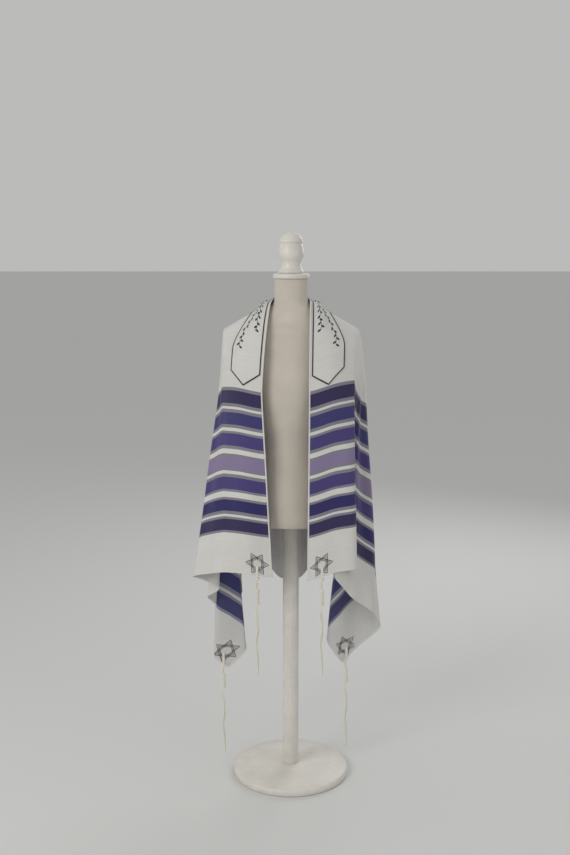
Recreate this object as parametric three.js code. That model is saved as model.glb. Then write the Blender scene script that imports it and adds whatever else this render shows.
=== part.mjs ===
// A tallit, the fringed prayer shawl, worn like a cape by a dress form.
// Millimetres, +Z up, front towards -Y. The origin is the middle of the stand's underside.
import * as THREE from 'three';

// ---------------------------------------------------------------- driving dimensions
// The shawl is one woven rectangle. s runs along its length from the centre of the back,
// t runs across it from the neck edge to the lower edge.
const SHAWL = { halfLength: 1005, width: 1000, wall: 1.6 };
const SEAM_GAP = 0.3;

// Where the cloth rests on the shoulders: flat place (s, t) and place in space.
const NECK_SIDE = { s: 100, t: 0, x: 59, y: 0, z: 1573 };
const SHOULDER_TIP = { s: 210, t: 160, x: 210, y: 4, z: 1484 };
const SHOULDER_HOLLOW = 6;
const NECK_BACK = { y: 66, z: 1588 };

// The cloth is pushed along the shoulder towards the neck, which it is not lower down.
const NECK_GATHER = { push: 55, length: 120 };

// Heights at which the fall lines are given, and the reach of the fan below the shoulder tip.
const CHEST_Z = 1300;
const LOW_Z = 700;
const FAN_REACH = 800;
const BEND = 60;

// The neck band on the cloth: its two long edges (t), its square part and its points (s).
const BAND = { near: 9, far: 118, square: 368, point: 412, wall: 1.2 };

// A tassel at each corner: its hole's distance from the two edges, and its yarn.
const TASSEL = { inset: 47, above: 30, length: 360, radius: 4, sides: 8, steps: 20 };
// How far a hanging tassel strays sideways, at equal steps below the edge.
const TASSEL_SWAY = [-2, 3, -3, 2, 1, -2, 0, 2, 1];

// One row for each fall line that is a crest or a hollow, from a front edge round the side
// to the centre of the back. reach is the distance from the front edge, measured 800 below
// the shoulder; then the place at chest height, the place low down, and the cloth that
// small gathers on the shoulder take up.
const LEFT_FALLS = [
  // reach chestX chestY lowX lowY taken
  [0, 90, -128, 57, -145, -6],
  [80, 163, -112, 136, -150, 3],
  [160, 210, -62, 210, -138, 14],
  [225, 217, -44, 262, -110, 12],
  [290, 221, -30, 312, -74, 4],
  [350, 219, -17, 276, -36, 0],
  [420, 214, -4, 232, -34, 0],
  [530, 222, 14, 262, 12, 0],
  [640, 216, 32, 222, 64, 0],
  [710, 208, 46, 184, 82, 0],
  [780, 222, 54, 242, 44, 0],
  [820, 214, 64, 199, 48, 0],
  [856, 207, 72, 166, 62, 0],
  [940, 218, 86, 246, 124, 0],
  [1040, 192, 94, 168, 128, 0],
  [1130, 192, 114, 232, 196, 0],
  [1225, 164, 112, 140, 166, 0],
  [1320, 156, 134, 166, 238, 0],
  [1415, 124, 126, 104, 176, 0],
  [1510, 78, 135, 72, 214, 0],
  [1575, 38, 128, 34, 182, 0],
];
const RIGHT_FALLS = [
  [0, 54, -130, 50, -164, -10],
  [80, 128, -124, 128, -166, 2],
  [160, 190, -92, 206, -146, 12],
  [220, 196, -78, 176, -104, 10],
  [290, 203, -61, 150, -54, 7],
  [390, 212, -38, 146, 20, 4],
  [500, 223, -13, 196, -22, 2],
  [580, 231, 5, 244, 8, 0],
  [660, 238, 24, 280, 46, 0],
  [725, 236, 44, 278, 84, 0],
  [780, 224, 56, 226, 92, 0],
  [820, 214, 62, 182, 70, 0],
  [880, 208, 76, 154, 88, 0],
  [970, 214, 88, 236, 146, 0],
  [1060, 188, 98, 160, 142, 0],
  [1150, 186, 116, 216, 210, 0],
  [1240, 160, 114, 134, 170, 0],
  [1330, 150, 136, 154, 240, 0],
  [1420, 122, 126, 98, 180, 0],
  [1515, 76, 136, 66, 212, 0],
  [1580, 34, 128, 30, 184, 0],
];
const BACK_CENTRE = [0, 134, 0, 196, 0];

// The dress form: height, half width, depth in front, depth behind.
const TORSO_SECTIONS = [
  [1641, 53, 53, 53],
  [1600, 53, 53, 53],
  [1572, 53, 53, 54],
  [1556, 63, 57, 59],
  [1535, 94, 63, 68],
  [1510, 134, 70, 77],
  [1485, 164, 76, 83],
  [1455, 178, 84, 89],
  [1415, 181, 94, 95],
  [1360, 173, 105, 101],
  [1290, 156, 113, 103],
  [1215, 137, 104, 100],
  [1140, 119, 91, 91],
  [1060, 126, 94, 98],
  [985, 138, 101, 106],
  [920, 144, 105, 110],
  [880, 143, 104, 109],
  [860, 138, 99, 102],
];
const TORSO_SIDES = 40;

// Turned profiles: radius, height.
const CAP_PROFILE = [
  [0, 1641.5], [55.5, 1641.5], [57, 1643], [57, 1653], [55, 1655.5], [44, 1658], [0, 1658],
];
const FINIAL_PROFILE = [
  [0, 1658.5], [40, 1658.5], [40, 1663], [35, 1670], [31, 1680], [30, 1688], [32, 1694],
  [37, 1703], [40, 1715], [39, 1729], [36, 1741], [34, 1748], [36, 1751], [37, 1756],
  [34, 1765], [26, 1775], [14, 1782], [0, 1785],
];
const POLE = { radius: 26, top: 859.7, bottom: 32.3 };
const BASE_PROFILE = [
  [0, 0], [186, 0], [190, 4], [190, 18], [184, 24], [60, 30], [46, 32], [0, 32],
];

// ---------------------------------------------------------------- materials
const material = (color, roughness) =>
  new THREE.MeshStandardMaterial({ color, roughness, metalness: 0, side: THREE.DoubleSide });
const SHAWL_CLOTH = material(0xe4e2dd, 0.75);
const BAND_CLOTH = material(0xdcd9d4, 0.7);
const TASSEL_YARN = material(0xddd6c0, 0.9);
const FORM_JERSEY = material(0xd8cdbd, 0.85);
const PAINTED_WOOD = material(0xe9e5dc, 0.4);

// ---------------------------------------------------------------- the draped surface
const lerp = (a, b, f) => a + (b - a) * f;
const FAN_START = SHOULDER_TIP.t;
const FAN_END = FAN_START + FAN_REACH * Math.PI / 2;
const HALF_REACH = FAN_END + SHOULDER_TIP.s;

// Every fall line in one list, from the left front edge (-HALF_REACH) to the right one.
const fallLines = [
  ...LEFT_FALLS.map(([reach, cx, cy, lx, ly, taken]) => [reach - HALF_REACH, -cx, cy, -lx, ly, taken]),
  [0, ...BACK_CENTRE],
  ...RIGHT_FALLS.map(([reach, ...rest]) => [HALF_REACH - reach, ...rest]).reverse(),
];

// A smooth curve through the rows: cubic pieces with the slope of the neighbours.
function fallLineAt(place) {
  const rows = fallLines;
  let k = 0;
  while (k < rows.length - 2 && place > rows[k + 1][0]) k += 1;
  const [a, b] = [rows[k], rows[k + 1]];
  const before = rows[k - 1] ?? a;
  const after = rows[k + 2] ?? b;
  const step = b[0] - a[0];
  const f = (place - a[0]) / step;
  const h = [2 * f ** 3 - 3 * f ** 2 + 1, f ** 3 - 2 * f ** 2 + f, -2 * f ** 3 + 3 * f ** 2, f ** 3 - f ** 2];
  return a.slice(1).map((start, n) => {
    const end = b[n + 1];
    const slopeA = (end - before[n + 1]) / (b[0] - before[0]);
    const slopeB = (after[n + 1] - start) / (after[0] - a[0]);
    return h[0] * start + h[1] * step * slopeA + h[2] * end + h[3] * step * slopeB;
  });
}

// The shoulder line from the neck (0) to the tip (1), a little hollow in its middle.
function ridge(f) {
  return {
    x: lerp(NECK_SIDE.x, SHOULDER_TIP.x, f),
    y: lerp(NECK_SIDE.y, SHOULDER_TIP.y, f),
    z: lerp(NECK_SIDE.z, SHOULDER_TIP.z, f) - SHOULDER_HOLLOW * Math.sin(Math.PI * f) * (1 - f),
  };
}

// Which fall line a point of the flat cloth is on, how far down it, and where the line starts.
function placeOnFall(s, t) {
  const a = Math.abs(s);
  const side = s < 0 ? -1 : 1;
  const ridgeS = lerp(NECK_SIDE.s, SHOULDER_TIP.s, Math.min(t / SHOULDER_TIP.t, 1));
  let reach;
  let down;
  let top;
  let share = 0;
  if (t <= SHOULDER_TIP.t && a >= ridgeS) {
    reach = t;
    down = a - ridgeS;
    share = t / SHOULDER_TIP.t;
    top = ridge(share);
  } else if (a < SHOULDER_TIP.s) {
    reach = HALF_REACH - a;
    const f = (a - NECK_SIDE.s) / (SHOULDER_TIP.s - NECK_SIDE.s);
    if (f > 0) {
      share = f;
      down = t - f * SHOULDER_TIP.t;
      top = ridge(f);
    } else {
      const turn = (1 - a / NECK_SIDE.s) * Math.PI / 2;
      down = t;
      top = {
        x: NECK_SIDE.x * Math.cos(turn),
        y: NECK_BACK.y * Math.sin(turn),
        z: lerp(NECK_SIDE.z, NECK_BACK.z, Math.sin(turn)),
      };
    }
  } else {
    const across = t - SHOULDER_TIP.t;
    const along = a - SHOULDER_TIP.s;
    reach = FAN_START + FAN_REACH * Math.atan2(across, along);
    down = Math.hypot(across, along);
    top = ridge(1);
  }
  return { place: side * (HALF_REACH - reach), side, down, top, share };
}

// The place in plan of a fall line at a height: over the shoulder, then straight down.
function planAt(top, line, z) {
  const [chestX, chestY, lowX, lowY] = line;
  const q = THREE.MathUtils.clamp((top.z - z) / (top.z - CHEST_Z), 0, 1);
  const round = Math.sqrt(1 - (1 - q) ** 2);
  const below = CHEST_Z - z;
  const hang = (below + Math.hypot(below, BEND)) / 2 / (CHEST_Z - LOW_Z);
  return {
    x: lerp(top.x, chestX, (q + round) / 2) + (lowX - chestX) * hang,
    y: lerp(top.y, chestY, round) + (lowY - chestY) * hang,
  };
}

// The direction from the shoulder tip up to the neck.
const UP_SHOULDER = new THREE.Vector3(NECK_SIDE.x, NECK_SIDE.y, NECK_SIDE.z)
  .sub(new THREE.Vector3(SHOULDER_TIP.x, SHOULDER_TIP.y, SHOULDER_TIP.z)).normalize();

// The place in space of a point of the flat cloth: down its fall line by the cloth's length,
// and a little towards the neck while it is near the shoulder line.
function drape(s, t) {
  const { place, side, down, top: start, share } = placeOnFall(s, t);
  const line = fallLineAt(place);
  const top = { ...start, x: side * start.x };
  const taken = line[4] * THREE.MathUtils.smoothstep(down, 0, 260);
  let left = down - taken;
  let z = top.z;
  let here = planAt(top, line, z);
  let stepZ = 0.5;
  while (left > 0) {
    const next = planAt(top, line, z - stepZ);
    const length = Math.hypot(next.x - here.x, next.y - here.y, stepZ);
    const f = Math.min(left / length, 1);
    here = { x: lerp(here.x, next.x, f), y: lerp(here.y, next.y, f) };
    z -= f * stepZ;
    left -= length;
    stepZ = Math.min(stepZ * 1.3, 8);
  }
  const gather = NECK_GATHER.push * 6.75 * share ** 2 * (1 - share)
    * (1 - THREE.MathUtils.smoothstep(down, 0, NECK_GATHER.length));
  return new THREE.Vector3(here.x, here.y, z).addScaledVector(
    new THREE.Vector3(side * UP_SHOULDER.x, UP_SHOULDER.y, UP_SHOULDER.z), gather);
}

// ---------------------------------------------------------------- walls on a lattice
// The flat cloth is cut into patches of cells. A patch is a list of rows of flat places.
// The strip along the neck edge and the middle of the back have straight rows, and the two
// fans have a column for each fall line.
const spread = (from, to, parts) =>
  Array.from({ length: parts + 1 }, (_, n) => lerp(from, to, n / parts));
const DOWN_STEPS = (() => {
  const share = (s) => (s - SHOULDER_TIP.s) / (SHAWL.halfLength - SHOULDER_TIP.s);
  return [
    ...spread(0, share(BAND.square), 4), share((BAND.square + BAND.point) / 2), share(BAND.point),
    0.26, 0.34, 0.43, 0.54, 0.65, 0.77, 0.89, 1,
  ];
})();
const BACK_COLUMNS = [...spread(0, NECK_SIDE.s, 3), ...spread(NECK_SIDE.s, SHOULDER_TIP.s, 3).slice(1)];
const STRIP_ROWS = [0, ...spread(BAND.near, BAND.far, 4), 138, FAN_START];
const FAN_COLUMNS = 46;

const halfS = [
  ...BACK_COLUMNS,
  ...DOWN_STEPS.slice(1).map((f) => lerp(SHOULDER_TIP.s, SHAWL.halfLength, f)),
];
const mirrored = (list) => [...list.slice(1).map((s) => -s).reverse(), ...list];
const backRows = DOWN_STEPS.map((f) => lerp(FAN_START, SHAWL.width, f));
const fanPlace = (side, turn, f) => {
  const [along, across] = [SHAWL.halfLength - SHOULDER_TIP.s, SHAWL.width - FAN_START];
  const whole = Math.min(along / Math.cos(turn), across / Math.sin(turn));
  return [
    side * (SHOULDER_TIP.s + f * whole * Math.cos(turn)),
    FAN_START + f * whole * Math.sin(turn),
  ];
};
// The fall line to the lower corner is one of the columns.
const cornerTurn = Math.atan2(SHAWL.width - FAN_START, SHAWL.halfLength - SHOULDER_TIP.s);
const fanTurns = [
  ...spread(0, cornerTurn, FAN_COLUMNS / 2), ...spread(cornerTurn, Math.PI / 2, FAN_COLUMNS / 2).slice(1),
];
const patches = [
  STRIP_ROWS.map((t) => mirrored(halfS).map((s) => [s, t])),
  backRows.map((t) => mirrored(BACK_COLUMNS).map((s) => [s, t])),
  ...[-1, 1].map((side) => (side < 0 ? fanTurns : [...fanTurns].reverse())
    .map((turn) => DOWN_STEPS.map((f) => fanPlace(side, turn, f))))
    .map((rows) => rows[0].map((_, n) => rows.map((row) => row[n]))),
];

// Corners are numbered by their flat place, so patches share those on their borders.
const corners = [];
const cornerNumbers = new Map();
function cornerAt([s, t]) {
  const key = `${Math.round(s * 100)},${Math.round(t * 100)}`;
  if (!cornerNumbers.has(key)) {
    cornerNumbers.set(key, corners.length);
    corners.push({ s, t, point: drape(s, t), normal: new THREE.Vector3() });
  }
  return cornerNumbers.get(key);
}

// Each cell is cut corner to corner, in the strip so that the band's points follow the cuts.
const latticeTriangles = patches.flatMap((rows) => rows.slice(1).flatMap((row, r) =>
  row.slice(1).flatMap((flat, n) => {
    const [a, b, c, d] = [rows[r][n], rows[r][n + 1], flat, row[n]].map(cornerAt);
    const [s, t] = rows[r][n];
    const rising = (s >= 0) === (t < (BAND.near + BAND.far) / 2);
    const pair = rising ? [[a, b, c], [a, c, d]] : [[a, b, d], [b, c, d]];
    return pair.filter((three) => new Set(three).size === 3);
  })));

latticeTriangles.forEach((three) => {
  const [a, b, c] = three.map((n) => corners[n].point);
  const normal = b.clone().sub(a).cross(c.clone().sub(a));
  three.forEach((n) => corners[n].normal.add(normal));
});
corners.forEach(({ normal }) => normal.normalize());

// A closed wall on some of the triangles, between two offsets from the draped surface.
function wall(triangles, inner, outer) {
  const positions = [];
  const indices = [];
  const number = new Map();
  const vertex = (n, offset) => {
    const key = `${n}/${offset}`;
    if (!number.has(key)) {
      number.set(key, positions.length / 3);
      const { point, normal } = corners[n];
      positions.push(...point.clone().addScaledVector(normal, offset).toArray());
    }
    return number.get(key);
  };
  const edges = new Set(triangles.flatMap(([a, b, c]) => [`${a},${b}`, `${b},${c}`, `${c},${a}`]));
  triangles.forEach(([a, b, c]) => {
    indices.push(vertex(a, outer), vertex(b, outer), vertex(c, outer));
    indices.push(vertex(a, inner), vertex(c, inner), vertex(b, inner));
    [[a, b], [b, c], [c, a]].forEach(([from, to]) => {
      if (edges.has(`${to},${from}`)) return;
      indices.push(vertex(from, outer), vertex(from, inner), vertex(to, inner));
      indices.push(vertex(from, outer), vertex(to, inner), vertex(to, outer));
    });
  });
  return solid(positions, indices);
}

function solid(positions, indices) {
  const geometry = new THREE.BufferGeometry();
  geometry.setAttribute('position', new THREE.Float32BufferAttribute(positions, 3));
  geometry.setIndex(indices);
  return geometry;
}

// ---------------------------------------------------------------- solids
const part = new THREE.Group();

function add(name, geometry, finish) {
  const mesh = new THREE.Mesh(geometry, finish);
  mesh.name = name;
  part.add(mesh);
  return mesh;
}

function turned(profile, sides = 32) {
  const points = profile.map(([radius, height]) => new THREE.Vector2(radius, height));
  return new THREE.LatheGeometry(points, sides).rotateX(Math.PI / 2);
}

// A loft through level oval sections, with flat ends.
function torso() {
  const rows = TORSO_SECTIONS.length;
  const positions = [];
  const indices = [];
  TORSO_SECTIONS.forEach(([z, halfWidth, front, behind]) => {
    for (let n = 0; n < TORSO_SIDES; n += 1) {
      const angle = 2 * Math.PI * n / TORSO_SIDES;
      const depth = Math.sin(angle) < 0 ? front : behind;
      positions.push(halfWidth * Math.cos(angle), depth * Math.sin(angle), z);
    }
  });
  for (let row = 0; row < rows - 1; row += 1) {
    for (let n = 0; n < TORSO_SIDES; n += 1) {
      const [a, b] = [row * TORSO_SIDES + n, row * TORSO_SIDES + (n + 1) % TORSO_SIDES];
      indices.push(a, a + TORSO_SIDES, b, b, a + TORSO_SIDES, b + TORSO_SIDES);
    }
  }
  [0, rows - 1].forEach((row) => {
    const centre = positions.length / 3;
    positions.push(0, 0, TORSO_SECTIONS[row][0]);
    for (let n = 0; n < TORSO_SIDES; n += 1) {
      const [a, b] = [row * TORSO_SIDES + n, row * TORSO_SIDES + (n + 1) % TORSO_SIDES];
      indices.push(...(row === 0 ? [centre, a, b] : [centre, b, a]));
    }
  });
  return solid(positions, indices);
}

add('form_torso', torso(), FORM_JERSEY);
add('neck_cap', turned(CAP_PROFILE), PAINTED_WOOD);
add('finial', turned(FINIAL_PROFILE), PAINTED_WOOD);
add('pole', new THREE.CylinderGeometry(POLE.radius, POLE.radius, POLE.top - POLE.bottom, 32)
  .rotateX(Math.PI / 2).translate(0, 0, (POLE.top + POLE.bottom) / 2), PAINTED_WOOD);
add('base', turned(BASE_PROFILE, 48), PAINTED_WOOD);

add('shawl', wall(latticeTriangles, -SHAWL.wall / 2, SHAWL.wall / 2), SHAWL_CLOTH);

// The neck band narrows to a point at each end.
const bandTriangles = latticeTriangles.filter((three) => {
  const s = three.reduce((sum, n) => sum + Math.abs(corners[n].s), 0) / 3;
  const t = three.reduce((sum, n) => sum + corners[n].t, 0) / 3;
  const fromMiddle = Math.abs(t - (BAND.near + BAND.far) / 2) * 2 / (BAND.far - BAND.near);
  return fromMiddle < 1 && s < lerp(BAND.point, BAND.square, fromMiddle);
});
const bandFloor = SHAWL.wall / 2 + SEAM_GAP;
add('neck_band', wall(bandTriangles, bandFloor, bandFloor + BAND.wall), BAND_CLOTH);

// Each tassel hangs straight down from its corner's hole, on the outer face.
function tasselPath(s, t, outward) {
  const clear = SHAWL.wall / 2 + SEAM_GAP + TASSEL.radius + 1.5;
  const hole = drape(s, t).add(new THREE.Vector3(0, outward * clear, 0));
  const edge = hole.clone().setZ(hole.z - TASSEL.above);
  const fall = TASSEL.length - TASSEL.above;
  const swaying = TASSEL_SWAY.map((stray, n) => edge.clone()
    .add(new THREE.Vector3(stray, 0, -fall * (n + 1) / TASSEL_SWAY.length)));
  return new THREE.CatmullRomCurve3([hole, edge, ...swaying]);
}

function tassel(path) {
  const outline = new THREE.Shape();
  outline.absarc(0, 0, TASSEL.radius, 0, 2 * Math.PI);
  return new THREE.ExtrudeGeometry(outline, {
    steps: TASSEL.steps, extrudePath: path, curveSegments: TASSEL.sides / 2,
  });
}

const hangs = { front: [TASSEL.inset, -1], back: [SHAWL.width - TASSEL.inset, 1] };
[['left', -1], ['right', 1]].forEach(([side, sign]) => {
  Object.entries(hangs).forEach(([end, [t, outward]]) => {
    const path = tasselPath(sign * (SHAWL.halfLength - TASSEL.above), t, outward);
    add(`tassel_${end}_${side}`, tassel(path), TASSEL_YARN);
  });
});

export default part;
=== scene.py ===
import logging
import math
from dataclasses import dataclass
from enum import Enum
from typing import Callable, Sequence

import bmesh
import bpy
import numpy as np
from mathutils import Matrix, Vector


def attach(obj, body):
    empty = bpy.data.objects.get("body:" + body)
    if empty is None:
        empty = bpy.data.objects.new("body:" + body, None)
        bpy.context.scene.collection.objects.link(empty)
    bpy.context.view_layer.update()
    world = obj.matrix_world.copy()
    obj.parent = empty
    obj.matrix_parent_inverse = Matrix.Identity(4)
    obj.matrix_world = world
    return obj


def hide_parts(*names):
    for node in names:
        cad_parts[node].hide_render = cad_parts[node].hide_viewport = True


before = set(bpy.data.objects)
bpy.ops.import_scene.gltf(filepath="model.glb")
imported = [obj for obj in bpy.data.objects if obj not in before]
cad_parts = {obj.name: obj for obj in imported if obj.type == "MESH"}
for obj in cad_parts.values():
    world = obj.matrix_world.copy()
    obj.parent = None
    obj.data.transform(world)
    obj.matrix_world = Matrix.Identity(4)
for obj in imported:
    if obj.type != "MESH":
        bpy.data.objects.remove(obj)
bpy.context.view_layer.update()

# A striped prayer shawl with a neck band, corner stars and tassels, worn by an armless dress form.
# A flat place on the cloth is (s, t) in metres: s runs along the cloth from the centre of the back,
# negative on the left, and t runs from the neck edge. What is on the cloth is laid out there, then
# draped with it.

MM = 0.001
TAU = 2 * math.pi
HALF_LENGTH = 1.005

log = logging.getLogger("tallit")


# ------------------------------------------------------------------ shader helpers
class Value:
    """A number socket in a material, on which Python's operators add Math nodes."""

    def __init__(self, finish: "Nodes", socket: bpy.types.NodeSocket) -> None:
        """Wraps one output socket of the material that finish is building."""
        self.finish = finish
        self.socket = socket

    def maths(self, operation: str, *others: "Value | float") -> "Value":
        """Adds one Math node on this socket and the others."""
        values = {n: other for n, other in enumerate((self, *others))}
        return self.finish.add("ShaderNodeMath", {"operation": operation}, values)

    def __add__(self, other: "Value | float") -> "Value":
        """Sum."""
        return self.maths("ADD", other)

    def __mul__(self, other: "Value | float") -> "Value":
        """Product."""
        return self.maths("MULTIPLY", other)

    def __sub__(self, other: "Value | float") -> "Value":
        """Difference."""
        return self.maths("SUBTRACT", other)

    def __truediv__(self, other: "Value | float") -> "Value":
        """Quotient."""
        return self.maths("DIVIDE", other)

    __radd__ = __add__
    __rmul__ = __mul__

    def __rsub__(self, other: float) -> "Value":
        """A plain number less this socket."""
        return self * -1.0 + other

    def sine(self) -> "Value":
        """Sine, in radians."""
        return self.maths("SINE")

    def size(self) -> "Value":
        """The value without its sign."""
        return self.maths("ABSOLUTE")


class Nodes:
    """Builds one material's node tree round its Principled shader."""

    def __init__(self, name: str, roughness: float, sheen: float = 0.0) -> None:
        """Starts a material.

        Args:
            name: the material's name.
            roughness: the surface's plain roughness.
            sheen: how much of a cloth's soft rim light it has.
        """
        self.material = bpy.data.materials.new(name)
        self.material.use_nodes = True
        self.tree = self.material.node_tree
        self.shader = self.tree.nodes["Principled BSDF"]
        self.shader.inputs["Roughness"].default_value = roughness
        self.shader.inputs["Sheen Weight"].default_value = sheen
        self.shader.inputs["Sheen Roughness"].default_value = 0.4

    def add(self, kind: str, settings: dict | None = None, values: dict | None = None,
            output: int | str = 0) -> Value:
        """Adds a node.

        Args:
            kind: the node's type.
            settings: its properties, set before its sockets.
            values: numbers, colours or sockets for its inputs, by index or name.
            output: which output is handed back.

        Returns:
            The chosen output.
        """
        node = self.tree.nodes.new(kind)
        for key, value in (settings or {}).items():
            setattr(node, key, value)
        for key, value in (values or {}).items():
            if isinstance(value, Value):
                self.tree.links.new(value.socket, node.inputs[key])
            else:
                node.inputs[key].default_value = value
        return Value(self, node.outputs[output])

    def ramp(self, value: Value, stops: Sequence[tuple[float, tuple[float, float, float]]],
             interpolation: str = "LINEAR") -> Value:
        """Turns a number into a colour.

        Args:
            value: the number, 0 to 1.
            stops: places and linear colours, in order.
            interpolation: how the ramp goes between stops.

        Returns:
            The colour.
        """
        colour = self.add("ShaderNodeValToRGB", {}, {0: value})
        ramp = colour.socket.node.color_ramp
        ramp.interpolation = interpolation
        while len(ramp.elements) < len(stops):
            ramp.elements.new(1.0)
        for element, (place, rgb) in zip(ramp.elements, stops):
            element.position = place
            element.color = (*rgb, 1.0)
        return colour

    def noise(self, vector: Value, scale: float, detail: float = 3.0) -> Value:
        """Soft noise from 0 to 1 over a position, with scale in cells for each metre."""
        return self.add("ShaderNodeTexNoise", {}, {"Vector": vector, "Scale": scale, "Detail": detail})

    def tint(self, colour: Value | tuple, factor: Value | float, other: Value | tuple,
             how: str = "MIX") -> Value:
        """Mixes two colours.

        Args:
            colour: the first colour.
            factor: how much of the mix, 0 to 1.
            other: the second colour.
            how: the blend mode.

        Returns:
            The mixed colour.
        """
        settings = {"data_type": "RGBA", "blend_type": how}
        first, second = (c if isinstance(c, Value) else (*c, 1.0) for c in (colour, other))
        return self.add("ShaderNodeMix", settings, {0: factor, 6: first, 7: second}, 2)

    def finish(self, colour: Value | tuple, height: Value | None = None, depth: float = 0.0,
               roughness: Value | None = None) -> bpy.types.Material:
        """Joins the colour, bump and roughness to the shader.

        Args:
            colour: base colour.
            height: bump height, 0 to 1.
            depth: the height's real size in metres.
            roughness: a roughness that varies.

        Returns:
            The material.
        """
        base = self.shader.inputs["Base Color"]
        if isinstance(colour, Value):
            self.tree.links.new(colour.socket, base)
        else:
            base.default_value = (*colour, 1.0)
        if height is not None:
            bump = self.add("ShaderNodeBump", {}, {"Height": height, "Distance": depth})
            self.tree.links.new(bump.socket, self.shader.inputs["Normal"])
        if roughness is not None:
            self.tree.links.new(roughness.socket, self.shader.inputs["Roughness"])
        return self.material


def linear(red: int, green: int, blue: int) -> tuple[float, float, float]:
    """An 8-bit screen colour as linear light."""
    return tuple(((v / 255 + 0.055) / 1.055) ** 2.4 if v > 10 else v / 3295 for v in (red, green, blue))


# ------------------------------------------------------------------ finishes
class Face(Enum):
    """Which side of the woven cloth shows."""

    RIGHT = "right"
    WRONG = "wrong"


class Dye(Enum):
    """The yarn colours in the woven stripes."""

    WHITE = linear(226, 224, 219)
    GREY = linear(136, 134, 144)
    PLUM = linear(49, 39, 86)
    NIGHT = linear(41, 37, 100)
    INDIGO = linear(59, 55, 116)
    VIOLET = linear(73, 61, 124)
    LILAC = linear(142, 128, 164)


# The stripes from the short edge inwards, in millimetres of cloth.
STRIPES = (
    (8, Dye.GREY), (36, Dye.PLUM), (8.5, Dye.GREY), (8, Dye.WHITE),
    (9, Dye.GREY), (37, Dye.NIGHT), (7.5, Dye.GREY), (16, Dye.WHITE),
    (9.5, Dye.GREY), (37.5, Dye.VIOLET), (8.5, Dye.GREY), (10, Dye.WHITE),
    (8, Dye.GREY), (38.5, Dye.LILAC), (8, Dye.GREY), (16, Dye.WHITE),
    (9, Dye.GREY), (37.5, Dye.VIOLET), (9, Dye.GREY), (10, Dye.WHITE),
    (9.5, Dye.GREY), (38, Dye.INDIGO), (11, Dye.GREY), (8, Dye.WHITE),
    (10, Dye.GREY), (39.5, Dye.PLUM), (10, Dye.GREY),
)
# The plain white cloth between each short edge and its first stripe, in millimetres.
LEFT_MARGIN = 124.0
RIGHT_MARGIN = 131.0


@dataclass(frozen=True)
class WovenCloth:
    """Fine plain weave with the stripes woven in, laid out on the flat cloth's own places."""

    half_length: float = HALF_LENGTH
    thread: float = 0.0011
    ramp_length: float = 0.65
    slub_scale: tuple[float, float, float] = (420.0, 9.0, 1.0)
    cloud_scale: float = 14.0
    edge_wander: float = 0.0012
    shadow: tuple[float, float, float] = (0.90, 0.90, 0.91)
    bump_depth: float = 0.0004
    wrong_white: tuple[float, float, float] = (0.9, 0.91, 0.93)
    wrong_dye: float = 0.95
    wrong_haze: tuple[float, float] = (0.02, 0.03)
    wrong_blue: float = 0.06

    def make(self, face: Face) -> bpy.types.Material:
        """Makes the material for one side of the cloth.

        Args:
            face: the side that it is for.

        Returns:
            The material.
        """
        nodes = Nodes(f"woven_{face.value}_side", 0.72, 0.25)
        flat = nodes.add("ShaderNodeUVMap", {"uv_map": "flat"})
        s = nodes.add("ShaderNodeSeparateXYZ", {}, {0: flat})
        t = Value(nodes, s.socket.node.outputs[1])
        threads = nodes.add("ShaderNodeMapping", {}, {"Vector": flat, "Scale": self.slub_scale})
        slub = nodes.noise(threads, 1.0, 2.0)
        right_end = s.maths("GREATER_THAN", 0.0)
        margin = right_end * ((RIGHT_MARGIN - LEFT_MARGIN) * MM) + LEFT_MARGIN * MM
        inwards = self.half_length - s.size() - margin + (slub - 0.5) * self.edge_wander
        stripes = nodes.ramp(inwards / self.ramp_length, self.stops(face), "CONSTANT")
        clouds = nodes.noise(flat, self.cloud_scale, 2.0)
        shade = nodes.ramp(slub * 0.6 + clouds * 0.4, ((0.3, self.shadow), (0.7, (1.0, 1.0, 1.0))))
        colour = nodes.tint(stripes, 1.0, shade, "MULTIPLY")
        weave = ((s * (TAU / self.thread)).sine() * (t * (TAU / self.thread)).sine()) * 0.35 + slub
        return nodes.finish(colour, weave, self.bump_depth)

    def stops(self, face: Face) -> list[tuple[float, tuple[float, float, float]]]:
        """Works out the stripes' colour stops.

        Args:
            face: the side of the cloth.

        Returns:
            Shares of the ramp's length and colours, from the end of the margin inwards.
        """
        stops = []
        place = 0.0
        for width, dye in STRIPES:
            stops.append((place * MM / self.ramp_length, self.seen(dye, face)))
            place += width
        stops.append((place * MM / self.ramp_length, self.seen(Dye.WHITE, face)))
        return [(0.0, self.seen(Dye.WHITE, face))] + [(p + 1e-4, c) for p, c in stops]

    def seen(self, dye: Dye, face: Face) -> tuple[float, float, float]:
        """A dye as it looks from one side: the wrong side is duller, and its stripes are bluer.

        Args:
            dye: the yarn's colour.
            face: the side of the cloth.

        Returns:
            The colour in linear light.
        """
        if face is Face.RIGHT:
            return dye.value
        if dye is Dye.WHITE:
            return tuple(c * share for c, share in zip(dye.value, self.wrong_white))
        red, green, blue = dye.value
        red_haze, green_haze = self.wrong_haze
        return red * self.wrong_dye + red_haze, green * self.wrong_dye + green_haze, blue + self.wrong_blue


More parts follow.
